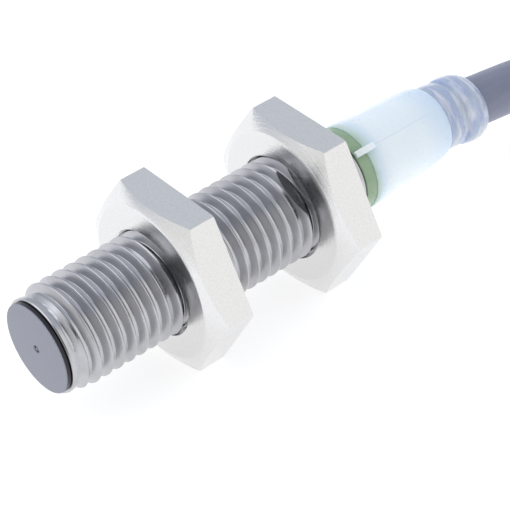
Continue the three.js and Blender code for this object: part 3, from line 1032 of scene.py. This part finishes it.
@dataclass
class Thread:
    """A metric thread's helix about Y, shared by the barrel and its nuts."""

    crest: float
    root: float
    pitch: float = 1.0
    crest_at: float = 0.42
    crest_half: float = 0.06
    steps: int = 96

    def section(self) -> list[tuple[float, float]]:
        """One pitch of the profile, from root to root, as place along the axis and radius."""
        run = (self.crest - self.root) * math.tan(math.radians(30))
        root_at = self.crest_half + run
        bend = 0.04
        rise = bend / math.tan(math.radians(30))
        half = [
            (0.0, self.crest), (self.crest_half - bend / 2, self.crest),
            (self.crest_half + bend / 3, self.crest - rise / 3), (self.crest_half + bend, self.crest - rise),
            (self.crest_half + run / 2, (self.crest + self.root) / 2), (root_at - bend, self.root + rise),
            (root_at - bend / 4, self.root + rise / 3.5), (root_at + bend / 2, self.root),
            (self.pitch / 2, self.root),
        ]
        return [(-y, radius) for y, radius in half[:0:-1]] + half

    def tube(self, low: float, high: float, shape: Callable[[float, float], float]) -> BMesh:
        """The threaded surface between two planes, open at both ends.

        Args:
            low: Where it starts along the axis.
            high: Where it ends.
            shape: Gives the radius that is kept, from the thread's radius and the place along the axis.

        Returns:
            The surface.
        """
        solid = bmesh.new()
        first = math.floor(low - self.crest_at) - 2 + self.crest_at
        turns = math.ceil(high - first) + 2
        verts = [solid.verts.new((radius, first + y, 0)) for y, radius in self.section()]
        edges = [solid.edges.new(pair) for pair in zip(verts, verts[1:])]
        bmesh.ops.spin(
            solid, geom=verts + edges, cent=(0, 0, 0), axis=(0, 1, 0), dvec=(0, self.pitch / self.steps, 0),
            angle=FULL_TURN, steps=self.steps, use_merge=False,
        )
        turn = solid.verts[:] + solid.edges[:] + solid.faces[:]
        for number in range(1, turns):
            made = bmesh.ops.duplicate(solid, geom=turn)["geom"]
            moved = new_verts(made)
            bmesh.ops.translate(solid, vec=(0, self.pitch * number, 0), verts=moved)
        bmesh.ops.remove_doubles(solid, verts=solid.verts, dist=1e-4)
        for vert in solid.verts:
            radius = math.hypot(vert.co.x, vert.co.z)
            kept = shape(radius, vert.co.y)
            vert.co.x *= kept / radius
            vert.co.z *= kept / radius
        for y, outer in ((low, False), (high, True)):
            bmesh.ops.bisect_plane(
                solid, geom=solid.verts[:] + solid.edges[:] + solid.faces[:], dist=1e-5, plane_co=(0, y, 0),
                plane_no=(0, 1, 0), clear_outer=outer, clear_inner=not outer,
            )
        bmesh.ops.remove_doubles(solid, verts=solid.verts, dist=1e-4)
        return solid

    @staticmethod
    def rim(solid: BMesh, y: float) -> list[Edge]:
        """The open edges in the plane at y."""
        return [e for e in solid.edges if e.is_boundary and all(abs(v.co.y - y) < 1e-3 for v in e.verts)]


@dataclass
class Barrel:
    """The threaded housing: front rim, relief groove, chamfered thread, and spanner flats near the rear."""

    front: float = 0.4
    rear: float = 27.4
    bore: float = 2.95
    rim: float = 3.6
    groove: float = 3.32
    thread_from: float = 0.98
    thread_to: float = 27.0
    flat: float = 3.5
    flat_angle: float = 55.0
    flats_from: float = 20.7
    thread: Thread = field(default_factory=lambda: Thread(crest=3.95, root=3.39))

    def envelope(self, radius: float, y: float) -> float:
        """The radius that the chamfers at the thread's ends leave."""
        reach = min(y - self.thread_from - 0.1, self.thread_to - 0.1 - y)
        return min(radius, self.groove + max(0.0, reach) * 0.9)

    def cut_flat(self, solid: BMesh, angle: float) -> None:
        """Cuts a spanner flat, whose outward direction is this many degrees above +X.

        The surface is split where the flat's shoulder and its plane meet it. What stands proud is then pressed into
        the plane.
        """
        direction = Matrix.Rotation(math.radians(-angle), 3, "Y") @ Vector((1, 0, 0))
        shoulder = 0.02
        cuts = [
            (Vector((0, self.flats_from, 0)), Vector((0, 1, 0))),
            (Vector((0, self.flats_from + shoulder, 0)), Vector((0, 1, 0))), (direction * self.flat, direction),
        ]
        for spot, normal in cuts:
            near = [face for face in solid.faces if self.faces_flat(face, direction)]
            parts = {item for face in near for item in (*face.verts, *face.edges)}
            bmesh.ops.bisect_plane(
                solid, geom=[*parts, *near], dist=1e-5, plane_co=spot, plane_no=normal,
                clear_outer=False, clear_inner=False,
            )
        for vert in solid.verts:
            proud = vert.co.dot(direction) - self.flat
            if proud > 0 and vert.co.y > self.flats_from + shoulder / 2:
                vert.co -= direction * proud

    def faces_flat(self, face: bmesh.types.BMFace, direction: Vector) -> bool:
        """Whether a face is near enough to a flat to be split by it."""
        return any(v.co.y > self.flats_from - 0.3 and v.co.dot(direction) > self.flat - 0.6 for v in face.verts)

    def build(self) -> bpy.types.Object:
        """Builds the barrel as one closed piece."""
        solid = self.thread.tube(self.thread_from, self.thread_to, self.envelope)
        middle = (self.front + self.rear) / 2
        nose = grow_ring(
            solid,
            Thread.rim(solid, self.thread_from),
            [
                (self.groove, 0.93), (self.rim - 0.1, 0.84), (self.rim - 0.02, 0.79), (self.rim, 0.74),
                (self.rim, self.front + 0.08), (self.rim - 0.03, self.front + 0.02), (self.rim - 0.08, self.front),
                (self.bore + 0.05, self.front), (self.bore, self.front + 0.05), (self.bore, middle - 1),
            ],
        )
        tail = grow_ring(
            solid,
            Thread.rim(solid, self.thread_to),
            [
                (self.groove, self.rear - 0.06), (self.groove - 0.06, self.rear), (self.bore, self.rear),
                (self.bore, middle + 1),
            ],
        )
        bmesh.ops.bridge_loops(solid, edges=nose + tail)
        for angle in (self.flat_angle, self.flat_angle + 180):
            self.cut_flat(solid, angle)
        bmesh.ops.recalc_face_normals(solid, faces=solid.faces)
        return piece(
            solid, "threaded_barrel", RolledThread().make(), replaces="barrel",
            crease=17, flat_sides=True,
        )


@dataclass
class HexNut:
    """A mounting nut: chamfered front side, plain rear side, and a threaded bore that matches the barrel."""

    body: Body
    across_flats: float = 13.0
    thickness: float = 3.0
    face_radius: float = 5.9
    bore_edge: float = 4.16
    edge: float = 0.06
    corner: float = 0.09
    chamfer: float = 30.0
    thread: Thread = field(default_factory=lambda: Thread(crest=4.1, root=3.56, steps=48))

    face: float = field(init=False)

    def __post_init__(self) -> None:
        """Finds where the nut's front side is along the axis."""
        self.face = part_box(self.body.value)[0].y / MM

    def blank(self) -> BMesh:
        """The hexagonal bar, with its corners just broken."""
        solid = bmesh.new()
        bmesh.ops.create_circle(solid, cap_ends=True, segments=6, radius=self.across_flats / math.sqrt(3))
        bmesh.ops.rotate(solid, matrix=Matrix.Rotation(math.pi / 2, 3, "X"), verts=solid.verts)
        if abs(min(vert.co.z for vert in solid.verts) + self.across_flats / 2) > 0.01:
            bmesh.ops.rotate(solid, matrix=Matrix.Rotation(math.pi / 6, 3, "Y"), verts=solid.verts)
        bmesh.ops.translate(solid, vec=(0, self.face - 1, 0), verts=solid.verts)
        made = bmesh.ops.extrude_face_region(solid, geom=solid.faces[:])["geom"]
        moved = new_verts(made)
        bmesh.ops.translate(solid, vec=(0, self.thickness + 2, 0), verts=moved)
        bmesh.ops.recalc_face_normals(solid, faces=solid.faces)
        corners = lengthwise(solid, 1)
        round_edges(solid, corners, self.corner, 3)
        return solid

    def turning(self) -> BMesh:
        """The turned outline that takes the front corners off."""
        face, rear, outside = self.face, self.face + self.thickness, 8.4
        slope = math.tan(math.radians(self.chamfer))
        return spun(
            outline([
                (3, face, 0), (self.face_radius, face, 0.12),
                (outside, face + (outside - self.face_radius) * slope, 0), (outside, rear - 0.5, 0),
                (7.42, rear, 0.06), (3, rear, 0),
            ]),
            180,
        )

    def mouth(self, radius: float, y: float) -> float:
        """The radius of the bore, opened by a countersink at each side."""
        depth = min(y - self.face, self.face + self.thickness - y)
        return max(radius, self.bore_edge - depth)

    def plug(self) -> BMesh:
        """The threaded plug that leaves the bore."""
        low, high = self.face - 0.2, self.face + self.thickness + 0.2
        solid = self.thread.tube(low, high, self.mouth)
        for y in (low, high):
            bmesh.ops.edgeloop_fill(solid, edges=Thread.rim(solid, y))
        bmesh.ops.recalc_face_normals(solid, faces=solid.faces)
        return solid

    def outer_edges(self, solid: BMesh) -> list[Edge]:
        """The edges where the flats end at the chamfer and at the rear side."""
        inside = self.face_radius + 0.3
        return [
            edge
            for edge in solid.edges
            if edge.calc_face_angle(0) > 0.4 and all(math.hypot(v.co.x, v.co.z) > inside for v in edge.verts)
        ]

    def build(self, material: bpy.types.Material) -> bpy.types.Object:
        """Builds the nut as one closed piece."""
        solid = carve(self.blank(), self.turning(), Cut.KEEP)
        round_edges(solid, self.outer_edges(solid), self.edge, 3)
        solid = carve(solid, self.plug(), Cut.REMOVE)
        name = self.body.value
        return piece(
            solid, name.replace("_nut", "_mounting_nut"), material, self.body, name,
            crease=35, flat_sides=True,
        )


@dataclass
class SensingEnd:
    """The plastic cup that closes the front, with a small gate mark in its middle."""

    radius: float = 3.4
    cup: float = 2.85
    wall: float = 0.4
    flange: float = 0.35
    depth: float = 5.0

    def build(self) -> bpy.types.Object:
        """Builds the cup."""
        profile = outline([
            (0, 0.0, 0), (0.09, 0.0, 0.05), (0.15, 0.09, 0.03), (0.25, 0.09, 0.03), (0.33, -0.02, 0.05),
            (0.42, 0, 0.05), (self.radius, 0, 0.11), (self.radius, self.flange, 0.04), (self.cup, self.flange, 0),
            (self.cup, self.depth, 0.1), (self.cup - self.wall, self.depth, 0.1), (self.cup - self.wall, 0.6, 0.15),
            (0, 0.6, 0),
        ])
        return piece(
            spun(profile, 128), "sensing_end", SensingPlastic().make(),
            replaces="sensing_face_cap", crease=50,
        )


@dataclass
class RearEnd:
    """The green sleeve, the milky cap with its key tab, and the clear grommet."""

    sleeve_end: float = 29.3
    cap_front: float = 28.5
    cap_rear: float = 36.9
    barrel_rear: float = 27.4
    key_angle: float = 55.0

    def sleeve(self) -> bpy.types.Object:
        """The green sleeve between barrel and cap."""
        start = self.barrel_rear + 0.1
        profile = outline([
            (2.55, 26.3, 0.05), (2.85, 26.3, 0.05), (2.85, start, 0), (3.3, start, 0.08),
            (3.3, self.cap_front - 0.01, 0.02), (3.05, self.cap_front - 0.01, 0), (3.05, self.sleeve_end, 0.08),
            (2.55, self.sleeve_end, 0.05),
        ])
        finish = Plastic("green_sleeve", (0.33, 0.47, 0.29), roughness=0.3, glow=0.3, coat=0.3, texture=3)
        return piece(
            spun(profile), "green_sleeve", finish.make(), replaces="locating_sleeve", crease=40
        )

    def cap(self) -> bpy.types.Object:
        """The milky cap, with the tab that keys it to the barrel."""
        profile = outline([
            (3.1, self.cap_front, 0.04), (3.37, self.cap_front, 0.03), (3.42, 28.75, 0.1), (3.38, 29.6, 0.4),
            (3.24, 31.6, 0.8), (3.12, 34.7, 0.8), (2.98, 36.3, 0.4), (2.86, 36.72, 0.25), (2.66, self.cap_rear, 0.08),
            (2.6, self.cap_rear, 0), (2.6, 29.7, 0), (3.1, 29.4, 0),
        ])
        tab_long = 1.85
        turn = Matrix.Rotation(math.radians(-self.key_angle), 4, "Y")
        place = turn @ Matrix.Translation((3.5, self.barrel_rear + 0.1 + tab_long / 2, 0))
        solid = carve(spun(profile, 128), block((0.3, tab_long, 0.5), place, 0.06), Cut.JOIN)
        return piece(solid, "milky_cap", MilkyCap().make(), replaces="end_cap", crease=40)

    def grommet(self) -> bpy.types.Object:
        """The clear collar and end ring round the cable."""
        profile = outline([
            (2.12, 35.3, 0.05), (2.5, 35.3, 0.1), (2.5, self.cap_rear, 0), (2.64, self.cap_rear + 0.05, 0.06),
            (2.68, 37.8, 0.5), (2.62, 38.7, 0.15), (2.46, 38.86, 0.08), (2.46, 39.0, 0.08), (2.72, 39.14, 0.15),
            (2.82, 39.8, 0.4), (2.77, 40.6, 0.5), (2.5, 41.2, 0.35), (2.2, 41.0, 0.2), (2.12, 40.4, 0.1),
        ])
        solid = spun(profile, 128)
        for vert in solid.verts:
            vert.co.z -= sag(vert.co.y)
        return piece(
            solid, "clear_grommet", MottledPlastic().make(), replaces="cable_grommet", crease=50
        )

    def build(self) -> None:
        """Builds the three pieces."""
        self.sleeve()
        self.cap()
        self.grommet()


@dataclass
class Electronics:
    """What the barrel holds. These CAD nodes keep their shape and get their finishes."""

    def build(self) -> None:
        """Dresses the nodes."""
        black = Plastic("black_moulding", (0.014, 0.014, 0.016), roughness=0.5, texture=5)
        finishes = {
            "ferrite_core": Plastic("ferrite", (0.035, 0.035, 0.04), roughness=0.65, texture=4, depth=0.03),
            "coil_bobbin": black,
            "sensing_coil": BareMetal("copper_winding", (0.60, 0.24, 0.09), 0.32, 5.0),
            "potting_resin": Plastic("potting_resin", (0.07, 0.07, 0.08), roughness=0.35, texture=1.5),
            "circuit_board": Plastic("solder_mask", (0.03, 0.16, 0.06), roughness=0.35, coat=0.4, texture=2),
            "sensor_chip": black,
            "output_transistor": black,
            "protection_diode": black,
            "load_resistor": black,
            "filter_capacitor": Plastic("fired_ceramic", (0.42, 0.30, 0.16), roughness=0.5, texture=4),
            "status_led_upper": Plastic("led_lens", (0.85, 0.50, 0.06), roughness=0.15, clear=0.5, coat=0.5),
            "crimp_ring": BareMetal("crimped_tin", (0.60, 0.60, 0.62), 0.3, 1.5),
            "core_brown": Plastic("core_brown_inner", (0.14, 0.045, 0.02), roughness=0.4),
            "core_blue": Plastic("core_blue_inner", (0.02, 0.09, 0.40), roughness=0.4),
            "core_black": Plastic("core_black_inner", (0.013, 0.013, 0.015), roughness=0.4),
        }
        finishes["status_led_lower"] = finishes["status_led_upper"]
        made: dict[str, bpy.types.Material] = {}
        for name, finish in finishes.items():
            if finish.name not in made:
                made[finish.name] = finish.make()
            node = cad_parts[name]
            node.data.materials.clear()
            node.data.materials.append(made[finish.name])
            LOG.info("%s: dressed", name)


def main() -> None:
    """Builds the camera and the cable, then the sensor, then the studio."""
    logging.basicConfig(level=logging.INFO, format="%(relativeCreated)6d ms %(name)s %(message)s")
    view = Viewpoint()
    view.place()
    cable = Cable()
    end = CableEnd(cable)
    cable.build([end.tie(), *end.leads()])
    SensingEnd().build()
    Barrel().build()
    plate = PlatedNut().make()
    for body in (Body.FRONT_NUT, Body.REAR_NUT):
        HexNut(body).build(plate)
    RearEnd().build()
    Electronics().build()
    Studio(opening=view.directions()[2]).build()


if __name__ == "__main__":
    main()
